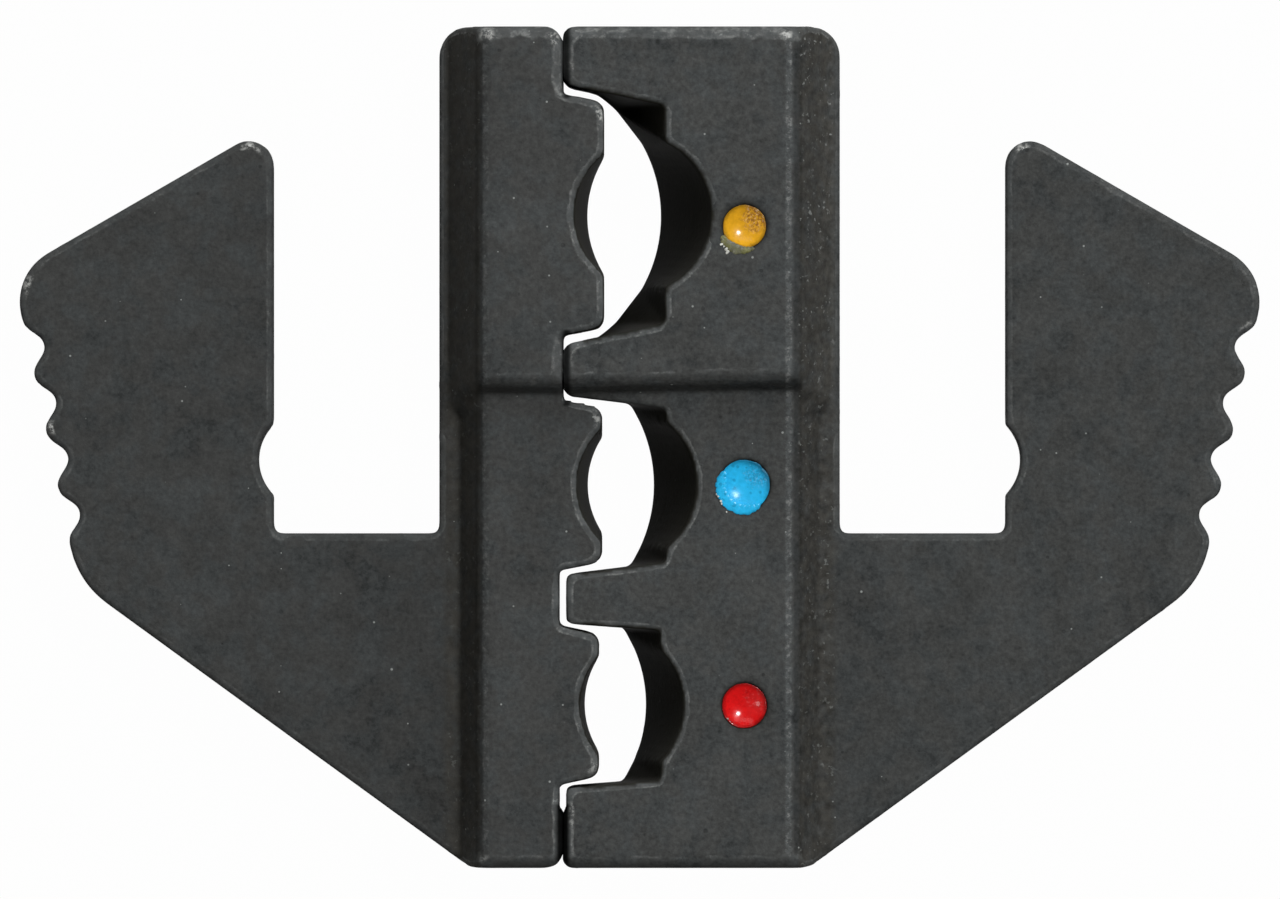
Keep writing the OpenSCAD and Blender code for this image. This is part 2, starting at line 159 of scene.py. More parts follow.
class DieForm(bpy.types.PropertyGroup):
    """Levels of the halves and how far tumbling has rounded their edges"""

    plate_back: FloatProperty(
        name="Plate back", description="Height of the wing plates' back", default=3 * MM, unit="LENGTH"
    )
    plate_front: FloatProperty(
        name="Plate front", description="Height of the wing plates' front", default=7 * MM, unit="LENGTH"
    )
    block_front: FloatProperty(
        name="Block front", description="Height of the lower stations' face", default=10 * MM, unit="LENGTH"
    )
    step_y: FloatProperty(
        name="Step", description="Middle of the raised station's sloped end", default=2.6 * MM,
        unit="LENGTH"
    )
    step_slant: FloatProperty(
        name="Step slant", description="Shift of the step's right end", default=0.28 * MM, unit="LENGTH"
    )
    block_reach: FloatProperty(
        name="Block reach", description="Distance of the slot walls from the middle", default=9.04 * MM,
        unit="LENGTH"
    )
    face_reach: FloatProperty(
        name="Face reach", description="Distance of the front faces' side edges from the middle",
        default=7.17 * MM, unit="LENGTH"
    )
    grain: FloatProperty(
        name="Grain", description="Distance between the points of a half's surface", default=0.12 * MM,
        unit="LENGTH"
    )
    rounding: IntProperty(
        name="Rounding", description="Passes that round the outer edges", default=10, min=1
    )
    nest_share: FloatProperty(
        name="Nest rim share", description="Share of that rounding on the nests' rims", default=0.08,
        subtype="FACTOR"
    )
    land_share: FloatProperty(
        name="Land share", description="Share of that rounding on the parting edges", default=0.4,
        subtype="FACTOR"
    )
    side_share: FloatProperty(
        name="Side share", description="Share of that rounding on the front faces' side edges and the step",
        default=0.15, subtype="FACTOR"
    )
    land_close: FloatProperty(
        name="Land contact", description="Bulge of the contact lands that closes their clearance",
        default=0.03 * MM, unit="LENGTH"
    )
    dings: FloatProperty(
        name="Dings", description="Depth of the dings along the edges", default=0.09 * MM, unit="LENGTH"
    )
    paint_sink: FloatProperty(
        name="Paint sink", description="Depth of the paint's border below the face", default=0.05 * MM,
        unit="LENGTH"
    )
    paint_dish: FloatProperty(
        name="Paint dish", description="Depth of the hollow in the paint", default=0.21 * MM, unit="LENGTH"
    )


class DieFinish(bpy.types.PropertyGroup):
    """Colours of the steel and of the paint"""

    indenter_steel: FloatVectorProperty(
        name="Indenter half", description="Oxide on the indenter half", default=(0.0461, 0.0473, 0.0467),
        subtype="COLOR"
    )
    nest_steel: FloatVectorProperty(
        name="Nest half", description="Oxide on the nest half", default=(0.0489, 0.0506, 0.0499),
        subtype="COLOR"
    )
    cool: FloatVectorProperty(
        name="Cool patches", description="Bluish patches of oxide", default=(0.0485, 0.0522, 0.053),
        subtype="COLOR"
    )
    # Painted highlight: a lighter band along the rounded edges
    rubbed: FloatVectorProperty(
        name="Rubbed edge", description="Thinned oxide along the edges", default=(0.1, 0.108, 0.11),
        subtype="COLOR"
    )
    # Bare steel at worn places and in lines along the edges, the lines partly painted highlight
    worn: FloatVectorProperty(
        name="Bare steel", description="Steel that shows at worn edges", default=(0.32, 0.325, 0.315),
        subtype="COLOR"
    )
    # Painted shade on the nest and indenter walls and round the marks
    soot: FloatVectorProperty(
        name="Painted_shade", description="Soot round the marks and in the nests", default=(0.014, 0.013, 0.009),
        subtype="COLOR"
    )
    dust: FloatVectorProperty(
        name="Dust", description="Bright specks of dust", default=(0.34, 0.36, 0.35), subtype="COLOR"
    )
    rust: FloatVectorProperty(
        name="Rust", description="Brown film on the shoulders", default=(0.046, 0.044, 0.039),
        subtype="COLOR"
    )
    smear: FloatVectorProperty(
        name="Smear", description="Thin olive film of paint", default=(0.105, 0.104, 0.028), subtype="COLOR"
    )
    dirt: FloatVectorProperty(
        name="Dirt", description="Brown dirt in the paint", default=(0.2, 0.07, 0.012), subtype="COLOR"
    )
    # Pale flecks of dried paint, whose pale colour also paints small glints
    fleck: FloatVectorProperty(
        name="Flecks_and_glints", description="Pale flecks of dried paint", default=(0.6, 0.61, 0.56), subtype="COLOR"
    )
    yellow: FloatVectorProperty(
        name="Yellow paint", description="Mark of the yellow station", default=(0.64, 0.32, 0.012),
        subtype="COLOR"
    )
    blue: FloatVectorProperty(
        name="Blue paint", description="Mark of the blue station", default=(0.02, 0.42, 0.76),
        subtype="COLOR"
    )
    red: FloatVectorProperty(
        name="Red paint", description="Mark of the red station", default=(0.6, 0.006, 0.007),
        subtype="COLOR"
    )


class DieStudio(bpy.types.PropertyGroup):
    """Camera, lamps and floor"""

    lens: FloatProperty(name="Lens", description="Focal length of the camera", default=800, unit="CAMERA")
    picture_width: FloatProperty(
        name="Picture width", description="Width of the view at the faces' height", default=57.71 * MM,
        unit="LENGTH"
    )
    key: FloatProperty(name="Key", description="Light of the key lamp", default=0.52)
    strip: FloatProperty(name="Strip", description="Light of the wide lamp near the key", default=0.065)
    top: FloatProperty(name="Top", description="Light of the lamp beyond the top end", default=0.5)
    right: FloatProperty(name="Right", description="Light of the lamp at the right", default=0.28)
    fill: FloatProperty(name="Fill", description="Light of the soft lamp at the left", default=0.057)
    glint: FloatProperty(name="Glint", description="Light of the small lamp at the left", default=0.038)
    ambient: FloatProperty(name="Ambient", description="Light from all around", default=0.12)
    floor_size: FloatProperty(name="Floor", description="Side of the floor", default=1.6, unit="LENGTH")
    floor_glow: FloatProperty(
        name="Floor glow", description="Share of the floor's white that no shadow dims", default=0.985,
        subtype="FACTOR"
    )


def smoothstep(low, high, value):
    """0 below low, 1 above high and smooth between them"""
    t = np.clip((value - low) / (high - low), 0, 1)
    return t * t * (3 - 2 * t)


def rows_of(items, key, width, kind=np.float32):
    """What each of a mesh's items says under a key, one row each"""
    values = np.empty(len(items) * width, kind)
    items.foreach_get(key, values)
    return values.reshape(-1, width)


def points_of(mesh):
    """Places of a mesh's points"""
    return rows_of(mesh.vertices, "co", 3).astype(float)


def normals_of(mesh):
    """Normals of a mesh's points"""
    return rows_of(mesh.vertex_normals, "vector", 3).astype(float)


def edges_of(mesh):
    """Pairs of points that a mesh's edges join"""
    return rows_of(mesh.edges, "vertices", 2, np.int32)


def triangles_in(mesh):
    """Number of triangles of a mesh"""
    return int((rows_of(mesh.polygons, "loop_total", 1, np.int32) - 2).sum())


def spread(mesh, values, passes):
    """Averages a value over neighbouring points, several times"""
    pairs = edges_of(mesh)
    count = np.bincount(pairs.ravel(), minlength=len(values)).clip(1)
    for _ in range(passes):
        total = np.bincount(pairs[:, 0], values[pairs[:, 1]], len(values))
        total += np.bincount(pairs[:, 1], values[pairs[:, 0]], len(values))
        values = (values + total / count) / 2
    return values


def widened(mesh, mask, passes):
    """Grows a mask over neighbouring points, then softens its border"""
    pairs = edges_of(mesh)
    grown = mask.astype(float)
    for _ in range(passes):
        ends = grown[pairs]
        np.maximum.at(grown, pairs[:, 0], ends[:, 1])
        np.maximum.at(grown, pairs[:, 1], ends[:, 0])
    return spread(mesh, grown, passes)


def weigh(piece, name, weights):
    """Vertex group whose weights are given for every point"""
    levels = 40
    group = piece.vertex_groups.new(name=name)
    steps = np.rint(weights * levels).astype(int)
    for step in range(1, levels + 1):
        chosen = np.flatnonzero(steps == step)
        if len(chosen):
            group.add(chosen.tolist(), step / levels, "REPLACE")
    return group.name


def apply_modifier(piece, kind, **settings):
    """Adds a modifier, sets it and applies it"""
    modifier = piece.modifiers.new(kind.title(), kind)
    for key, value in settings.items():
        setattr(modifier, key, value)
    bpy.context.view_layer.objects.active = piece
    bpy.ops.object.modifier_apply(modifier=modifier.name)


def displace(piece, strength, still, **settings):
    """Moves the points of a piece by a strength; a texture's level still moves nothing"""
    apply_modifier(piece, "DISPLACE", strength=strength, mid_level=still, **settings)


def select_only(piece):
    """Selects one object and makes it the active one"""
    bpy.ops.object.select_all(action="DESELECT")
    piece.select_set(True)
    bpy.context.view_layer.objects.active = piece


def merged_copy(node, name):
    """Copy of a CAD node with its triangles joined, free of the node's own marks"""
    select_only(frame["nodes"][node])
    bpy.ops.object.duplicate()
    piece = bpy.context.active_object
    piece.name = name
    piece.data.name = name
    piece.parent = None
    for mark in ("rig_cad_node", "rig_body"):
        del piece[mark]
    bpy.ops.object.mode_set(mode="EDIT")
    bpy.ops.mesh.select_all(action="SELECT")
    bpy.ops.mesh.remove_doubles(threshold=0.001 * MM)
    bpy.ops.object.mode_set(mode="OBJECT")
    piece.data.materials.clear()
    return piece


def inside_ends(places):
    """Points that are away from the top and bottom ends of the die"""
    return np.abs(places[:, 1]) < CAD_BOX[1].y - 0.8 * MM


def mark_spot(name):
    """Middle of a colour mark's face, and its radius"""
    low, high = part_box(f"{name}_mark")
    return Vector(((low.x + high.x) / 2, (low.y + high.y) / 2, high.z)), (high.x - low.x) / 2


def near_marks(places, margin):
    """Points that lie within a margin of a colour mark"""
    near = np.zeros(len(places), bool)
    for name in MARKS:
        spot, radius = mark_spot(name)
        near |= np.hypot(places[:, 0] - spot.x, places[:, 1] - spot.y) < radius + margin
    return near


def near_step(places, form):
    """1 on the sloped end of the raised station, 0 away from it"""
    beside = 1 - smoothstep(0.9 * MM, 1.3 * MM, np.abs(places[:, 1] - form.step_y))
    return beside * (places[:, 2] > form.block_front - 0.4 * MM)


def shoulder_step(places, form):
    """1 on the shoulders beside that end, where the step runs out"""
    reach = np.abs(places[:, 0])
    beside = 1 - smoothstep(1.2 * MM, 1.9 * MM, np.abs(places[:, 1] - form.step_y + 0.5 * MM))
    outside = smoothstep(form.face_reach - 0.15 * MM, form.face_reach + 0.1 * MM, reach)
    above = places[:, 2] > form.plate_front - 0.2 * MM
    return beside * outside * above * (reach < form.block_reach + form.grain)


def step_shift(piece, form):
    """Share of the step's shift at each point: the step slants up to the right"""
    places = points_of(piece.data)
    beside = 1 - smoothstep(0.5 * MM, 1.3 * MM, np.abs(places[:, 1] - form.step_y))
    along = np.clip((places[:, 0] - PARTING_X) / (form.face_reach - PARTING_X), 0, 1)
    return beside * (places[:, 2] > form.block_front - 0.05 * MM) * (0.3 + 0.7 * along)


def worn_places(places):
    """1 at the middle of each worn place"""
    mask = np.zeros(len(places))
    for x, y, radius in WORN:
        away = np.hypot(places[:, 0] / MM - x, places[:, 1] / MM - y)
        mask = np.maximum(mask, 1 - smoothstep(0.4, 1.0, away / radius))
    return mask


def edge_share(piece, side, form):
    """Share of rounding at each point: full near the front and back edges, little elsewhere"""
    places = points_of(piece.data)
    reach = np.abs(places[:, 0])
    away = np.full(len(places), 1.0)
    wing = reach > form.face_reach
    block = reach < form.block_reach + form.grain
    margin = 1.2 * MM
    levels = (
        (form.plate_back, wing),
        (form.plate_front, wing),
        (0, block),
        (form.block_front, block & (places[:, 1] < form.step_y + margin)),
        (CAD_BOX[1].z, block & (places[:, 1] > form.step_y - margin)),
    )
    for height, where in levels:
        away = np.where(where, np.minimum(away, np.abs(places[:, 2] - height)), away)
    share = 1 - smoothstep(0.5 * MM, 1.0 * MM, away)

    ends = smoothstep(0.5 * MM, 1.2 * MM, CAD_BOX[1].y - np.abs(places[:, 1]))
    sides = 1 - smoothstep(0.6 * MM, 0.9 * MM, np.abs(reach - form.face_reach))
    sides = sides * ends * (places[:, 2] > form.plate_front + 1.2 * MM)
    steps = near_step(places, form) * (reach < form.face_reach)
    share = share * (1 - np.maximum(sides, steps) * (1 - form.side_share))

    depth = side * (places[:, 0] - PARTING_X)
    share = np.where(depth < 0.7 * MM, share * form.land_share, share)
    if side > 0:
        nests = nest_mask(piece, form, 4)
        share = share * (1 - nests) + form.nest_share * nests
        share = np.where(near_marks(places, MARK_MARGIN), 0, share)
    return share


def indenter_mask(piece):
    """1 on the walls of the indenters, which stand in the nests"""
    places = points_of(piece.data)
    walls = np.abs(normals_of(piece.data)[:, 2]) < 0.6
    return (walls & inside_ends(places) & (places[:, 0] > PARTING_X + 0.2 * MM)).astype(float)


def nest_mask(piece, form, passes):
    """1 on the walls of the nests, and a little round their rims"""
    places = points_of(piece.data)
    walls = np.abs(normals_of(piece.data)[:, 2]) < 0.7
    inside = (places[:, 0] > PARTING_X + 0.9 * MM) & (np.abs(places[:, 0]) < form.face_reach - 0.8 * MM)
    plain = ~near_marks(places, MARK_MARGIN) & (near_step(places, form) < 0.5)
    return widened(piece.data, walls & inside & inside_ends(places) & plain, passes)


def convexity(mesh):
    """How convex each point is per millimetre, from -2 in a hollow to 2 on a sharp ridge"""
    places = points_of(mesh)
    normals = normals_of(mesh)
    pairs = edges_of(mesh)
    step = places[pairs[:, 0]] - places[pairs[:, 1]]
    turn = normals[pairs[:, 0]] - normals[pairs[:, 1]]
    bend = (turn * step).sum(1) / np.maximum((step * step).sum(1), 1e-12)
    total = np.bincount(pairs[:, 0], bend, len(places)) + np.bincount(pairs[:, 1], bend, len(places))
    count = np.bincount(pairs.ravel(), minlength=len(places)).clip(1)
    return spread(mesh, total / count * MM, 2).clip(-2, 2)


def store(mesh, name, values):
    """Keeps a value for each point, for the materials"""
    layer = mesh.attributes.new(name, "FLOAT", "POINT")
    layer.data.foreach_set("value", values.astype(np.float32))


def relief_texture(name, size):
    """Soft noise with features of a given size"""
    texture = bpy.data.textures.new(name, "CLOUDS")
    texture.noise_scale = size
    texture.noise_depth = 2
    return texture


def on_lands(mesh):
    """Points on the contact lands, whose clearance the closed set doesn't show"""
    flat = np.abs(normals_of(mesh)[:, 0]) > 0.9
    return flat & (np.abs(points_of(mesh)[:, 0] - PARTING_X) < 0.1 * MM)


def land_steps(mesh):
    """Steps along the parting line at which the two halves touch"""
    steps = np.unique(np.rint(points_of(mesh)[on_lands(mesh), 1] / SEAM_STEP))
    return np.concatenate([steps - 1, steps, steps + 1])


def make_half(node, body, name, side, steel, form):
    """One half of the set: its CAD form with tumbled edges; side is 1 for the right half"""
    piece = merged_copy(node, name)
    apply_modifier(piece, "REMESH", mode="VOXEL", voxel_size=form.grain, use_smooth_shade=True)
    slant = weigh(piece, "slant", step_shift(piece, form))
    displace(piece, form.step_slant, 0, direction="Y", vertex_group=slant)
    edges = weigh(piece, "edges", edge_share(piece, side, form))
    apply_modifier(piece, "SMOOTH", factor=0.5, iterations=form.rounding, vertex_group=edges)
    runout = weigh(piece, "runout", shoulder_step(points_of(piece.data), form))
    apply_modifier(piece, "SMOOTH", factor=0.5, iterations=40, vertex_group=runout)
    apply_modifier(piece, "SMOOTH", factor=0.5, iterations=2)
    lands = weigh(piece, "lands", spread(piece.data, on_lands(piece.data).astype(float), 3))
    displace(piece, -side * form.land_close, 0, direction="X", vertex_group=lands)
    ridges = weigh(piece, "ridges", smoothstep(0.1, 0.6, convexity(piece.data)))
    displace(piece, form.dings, 0.65, texture=relief_texture("dents", 0.9 * MM), vertex_group=ridges)
    touching = land_steps(piece.data)
    apply_modifier(piece, "DECIMATE", ratio=min(1.0, TRIANGLE_LIMIT / triangles_in(piece.data)))
    select_only(piece)
    bpy.ops.object.shade_smooth()
    places = points_of(piece.data)
    edge = convexity(piece.data) * (1 - shoulder_step(places, form))
    edge[near_marks(places, 0.7 * MM)] = 0
    store(piece.data, "edge", edge)
    store(piece.data, "worn", worn_places(places))
    store(piece.data, "seam", np.isin(np.rint(places[:, 1] / SEAM_STEP), touching).astype(float))
    store(piece.data, "nest", nest_mask(piece, form, 1) if side > 0 else indenter_mask(piece))
    piece.data.materials.append(steel)
    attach(piece, body)
    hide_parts(node)


class Nodes:
    """Short hand for building a node tree"""

    def __init__(self, tree):
        self.tree = tree

    def add(self, kind, values=None, **settings):
        """Adds a node, sets it and gives its inputs values or links"""
        node = self.tree.nodes.new(kind)
        for key, value in settings.items():
            setattr(node, key, value)
        for key, value in (values or {}).items():
            self.feed(node, key, value)
        return node

    def feed(self, node, key, value):
        """Sets an input, or links it where the value is another node's output"""
        if isinstance(value, bpy.types.NodeSocket):
            self.tree.links.new(value, node.inputs[key])
        else:
            node.inputs[key].default_value = value

    def group(self, group, values):
        """Places a node group with its own values"""
        return self.add("ShaderNodeGroup", values, node_tree=group)

    def attribute(self, name):
        """Value that the mesh keeps for each point"""
        return self.add("ShaderNodeAttribute", attribute_name=name).outputs["Fac"]

    def math(self, operation, *values, clamp=False):
        """Result of a Math node"""
        node = self.add("ShaderNodeMath", dict(enumerate(values)), operation=operation, use_clamp=clamp)
        return node.outputs[0]

    def times(self, first, second):
        """Product of two values"""
        return self.math("MULTIPLY", first, second)

    def plus(self, first, second):
        """Sum of two values"""
        return self.math("ADD", first, second)

    def minus(self, first, second):
        """First value less the second"""
        return self.math("SUBTRACT", first, second)

    def rest(self, value):
        """What a share leaves of 1"""
        return self.math("SUBTRACT", 1.0, value)

    def larger(self, first, second):
        """Larger one of two values"""
        return self.math("MAXIMUM", first, second)

    def gap(self, first, second):
        """Distance between two values"""
        return self.math("ABSOLUTE", self.minus(first, second))

    def ramp(self, value, low, high, start=0.0, end=1.0):
        """Value carried smoothly from start to end as the input goes from low to high"""
        node = self.add(
            "ShaderNodeMapRange",
            {"Value": value, "From Min": low, "From Max": high, "To Min": start, "To Max": end},
            interpolation_type="SMOOTHSTEP",
        )
        return node.outputs["Result"]

    def mix(self, factor, first, second, blend="MIX"):
        """Colour between two colours"""
        node = self.add("ShaderNodeMix", data_type="RGBA", blend_type=blend)
        self.feed(node, 0, factor)
        self.feed(node, 6, first)
        self.feed(node, 7, second)
        return node.outputs[2]

    def shaded(self, base, shade):
        """Colour times a shade"""
        return self.mix(1.0, base, shade, "MULTIPLY")

    def noise(self, vector, per_mm, detail=3.0, roughness=0.55):
        """Noise with so many features to the millimetre"""
        node = self.add(
            "ShaderNodeTexNoise",
            {"Vector": vector, "Scale": per_mm / MM, "Detail": detail, "Roughness": roughness},
        )
        return node.outputs["Fac"]

    def scaled(self, vector, factors):
        """Vector with each of its parts multiplied"""
        node = self.add("ShaderNodeVectorMath", {0: vector, 1: factors}, operation="MULTIPLY")
        return node.outputs[0]

    def bump(self, shader, height, strength, distance):
        """Gives a shader its fine relief, with the distance in millimetres"""
        relief = {"Height": height, "Strength": strength, "Distance": distance * MM}
        node = self.add("ShaderNodeBump", relief)
        self.feed(shader, "Normal", node.outputs["Normal"])


def new_group(name, inputs, outputs):
    """Empty shader node group with named sockets"""
    group = bpy.data.node_groups.new(name, "ShaderNodeTree")
    for label, kind, default in inputs:
        socket = group.interface.new_socket(label, in_out="INPUT", socket_type=kind)
        if default is not None:
            socket.default_value = default
    for label, kind in outputs:
        group.interface.new_socket(label, in_out="OUTPUT", socket_type=kind)
    nodes = Nodes(group)
    return group, nodes, nodes.add("NodeGroupInput"), nodes.add("NodeGroupOutput")


def sintered_grain():
    """Fine granular mottling of blackened steel: a shade around 1 and a height"""
    group, n, given, out = new_group(
        "sintered_grain",
        [("Vector", "NodeSocketVector", None), ("Contrast", "NodeSocketFloat", 0.12)],
        [("Shade", "NodeSocketFloat"), ("Height", "NodeSocketFloat")],
    )
    vector = given.outputs["Vector"]
    patches = n.noise(vector, 0.45, 3)
    fine = n.noise(vector, 3.5, 3, 0.6)
    crumbs = n.noise(vector, 6, 2, 0.6)
    total = n.plus(n.plus(n.times(patches, 0.7), n.times(fine, 1.3)), crumbs)
    swing = n.times(n.minus(total, 1.5), n.times(given.outputs["Contrast"], 2.0))
    n.feed(out, "Shade", n.plus(1.0, swing))
    n.feed(out, "Height", n.plus(n.times(fine, 0.6), n.times(crumbs, 0.4)))
    return group


def scattered_specks():
    """Sparse round specks: a mask that is 1 on each speck"""
    group, n, given, out = new_group(
        "scattered_specks",
        [
            ("Vector", "NodeSocketVector", None),
            ("Per mm", "NodeSocketFloat", 1.0),
            ("Share", "NodeSocketFloat", 0.3),
            ("Size", "NodeSocketFloat", 0.2),
        ],
        [("Mask", "NodeSocketFloat")],
    )
    scale = n.times(given.outputs["Per mm"], 1 / MM)
    cells = n.add("ShaderNodeTexVoronoi", {"Vector": given.outputs["Vector"], "Scale": scale})
    tone = n.add("ShaderNodeSeparateColor", {"Color": cells.outputs["Color"]})
    chosen = n.math("LESS_THAN", tone.outputs["Red"], given.outputs["Share"])
    size = n.times(given.outputs["Size"], n.plus(tone.outputs["Green"], 0.4))
    spot = n.math("SUBTRACT", 1.0, n.math("DIVIDE", cells.outputs["Distance"], size), clamp=True)
    n.feed(out, "Mask", n.times(n.ramp(spot, 0.0, 0.5), chosen))
    return group


def rubbed_edges():
    """Painted highlight along ridges, from the piece's own edge measure: a lighter band, and bare steel in
    lines, which are partly painted highlight, and in worn blotches
    """
    group, n, given, out = new_group(
        "rubbed_edges",
        [
            ("Vector", "NodeSocketVector", None),
            ("Edge", "NodeSocketFloat", 0.0),
            ("Worn", "NodeSocketFloat", 0.0),
            ("Lines", "NodeSocketFloat", 1.0),
        ],
        [("Rubbed", "NodeSocketFloat"), ("Bare", "NodeSocketFloat")],
    )
    vector = given.outputs["Vector"]
    edge = given.outputs["Edge"]
    broken = n.ramp(n.noise(vector, 1.1, 4, 0.7), 0.42, 0.62)
    fine = n.ramp(n.noise(vector, 5, 3, 0.6), 0.4, 0.62, 0.3, 1.0)
    ragged = n.ramp(n.noise(vector, 4, 3, 0.7), 0.42, 0.6)
    rubbed = n.times(n.ramp(edge, 0.3, 0.65), n.ramp(broken, 0.0, 1.0, 0.5, 1.0))
    rubbed = n.times(rubbed, given.outputs["Lines"])
    fine = n.times(fine, given.outputs["Lines"])
    line = n.times(n.ramp(edge, 0.32, 0.55), n.ramp(edge, 0.75, 1.05, 1.0, 0.2))
    line = n.times(line, n.ramp(broken, 0.0, 1.0, 0.06, 0.36))
    blotch = n.times(n.times(n.ramp(edge, 0.25, 0.6), given.outputs["Worn"]), ragged)
    n.feed(out, "Rubbed", rubbed)
    n.feed(out, "Bare", n.larger(n.times(line, fine), blotch))
    return group


def ragged_blot():
    """One blot of dirt or paint with a ragged border: a mask that is 1 in its middle"""
    group, n, given, out = new_group(
        "ragged_blot",
        [
            ("Vector", "NodeSocketVector", None),
            ("Centre", "NodeSocketVector", None),
            ("Radius", "NodeSocketFloat", 1.0),
            ("Ragged", "NodeSocketFloat", 0.5),
        ],
        [("Mask", "NodeSocketFloat")],
    )
    vector = given.outputs["Vector"]
    away = n.add("ShaderNodeVectorMath", {0: vector, 1: given.outputs["Centre"]}, operation="SUBTRACT")
    flat = n.scaled(away.outputs[0], (1 / MM, 1 / MM, 0))
    distance = n.add("ShaderNodeVectorMath", {0: flat}, operation="LENGTH").outputs["Value"]
    ragged = n.times(n.minus(n.noise(vector, 2.5, 4, 0.7), 0.5), given.outputs["Ragged"])
    share = n.math("DIVIDE", n.plus(distance, ragged), given.outputs["Radius"])
    n.feed(out, "Mask", n.ramp(share, 0.55, 1.0, 1.0, 0.0))
    return group


def material_groups():
    """The node groups that the materials share"""
    makers = dict(grain=sintered_grain, specks=scattered_specks, highlight_wear=rubbed_edges, blot=ragged_blot)
    return {key: bpy.data.node_groups.get(maker.__name__) or maker() for key, maker in makers.items()}


def specks(n, groups, vector, per_mm, share, size):
    """Mask of specks, of which a share of the cells have one"""
    values = {"Vector": vector, "Per mm": per_mm, "Share": share, "Size": size}
    return n.group(groups["specks"], values).outputs["Mask"]


def blot(n, groups, vector, centre, radius, ragged):
    """Mask of one blot, its radius in millimetres"""
    values = {"Vector": vector, "Centre": centre, "Radius": radius, "Ragged": ragged}
    return n.group(groups["blot"], values).outputs["Mask"]


def colour(value, share=1.0, lift=0.0):
    """Colour with full alpha, dimmed to a share and lifted towards white where asked"""
    return (*(share * part + lift for part in value), 1.0)


def new_material(name):
    """Material with its node tree, Principled shader and object coordinates"""
    material = bpy.data.materials.new(name)
    material.use_nodes = True
    nodes = Nodes(material.node_tree)
    shader = material.node_tree.nodes["Principled BSDF"]
    vector = nodes.add("ShaderNodeTexCoord").outputs["Object"]
    return material, nodes, shader, vector


def mark_halo(n, groups, vector):
    """1 in a ragged blot round each mark: painted shade where the face dips into the dimple"""
    rim_shade = 0.0
    for mark in MARKS:
        spot, radius = mark_spot(mark)
        rim_shade = n.larger(rim_shade, blot(n, groups, vector, spot, radius / MM + 0.32, 0.25))
    return rim_shade


def side_edge_zone(n, place, reach, form):
    """1 along the side edges of the front faces, 0 at the ends of the die"""
    from_middle = n.math("ABSOLUTE", place["Y"])
    zone = n.ramp(n.gap(reach, form.face_reach - 0.15 * MM), 0.5 * MM, 0.65 * MM, 1.0, 0.0)
    zone = n.times(zone, n.ramp(place["Z"], form.plate_front + 0.6 * MM, form.plate_front + 1.2 * MM))
    end = CAD_BOX[1].y
    return n.times(zone, n.ramp(from_middle, end - 0.8 * MM, end - 0.5 * MM, 1.0, 0.0))


def side_edge_line(n, vector, reach, zone, side, form):
    """Painted highlight line just inside those edges, further in and brighter on the right half"""
    inward, strength = (0.46 * MM, 1.0) if side > 0 else (0.23 * MM, 0.35)
    line = n.ramp(n.gap(reach, form.face_reach - inward), 0.07 * MM, 0.2 * MM, 1.0, 0.0)
    line = n.times(n.times(line, zone), n.ramp(n.noise(vector, 3, 3, 0.7), 0.4, 0.6, 0.3, 1.0))
    return n.times(line, strength)


def shoulder_zone(n, reach, form):
    """1 on the sloped shoulders beside the front faces"""
    out_of_face = n.ramp(reach, form.face_reach - 0.1 * MM, form.face_reach + 0.1 * MM)
    in_block = n.ramp(reach, form.block_reach - 0.5 * MM, form.block_reach, 1.0, 0.0)
    return n.times(out_of_face, in_block)


def seam_crevice(n, place, seam, form):
    """Painted shade along the front of the seam where the halves touch, wider at the lowest land"""
    low = n.ramp(place["Y"], *LOWEST_LAND, 1.0, 0.0)
    middle = n.plus(n.times(low, -0.18 * MM), PARTING_X + 0.15 * MM)
    from_seam = n.minus(n.gap(place["X"], middle), n.times(low, 0.13 * MM))
    depth = n.times(n.plus(n.times(low, 0.14), 0.8), seam)
    seam_shade = n.times(n.ramp(from_seam, 0.03 * MM, 0.29 * MM, 1.0, 0.0), depth)
    low_end, high_end = form.step_y - 0.3 * MM, form.step_y + 0.3 * MM
    front = n.ramp(place["Y"], low_end, high_end, form.block_front, CAD_BOX[1].z)
    return n.times(seam_shade, n.ramp(n.minus(front, place["Z"]), 0.5 * MM, 1.2 * MM, 1.0, 0.0))


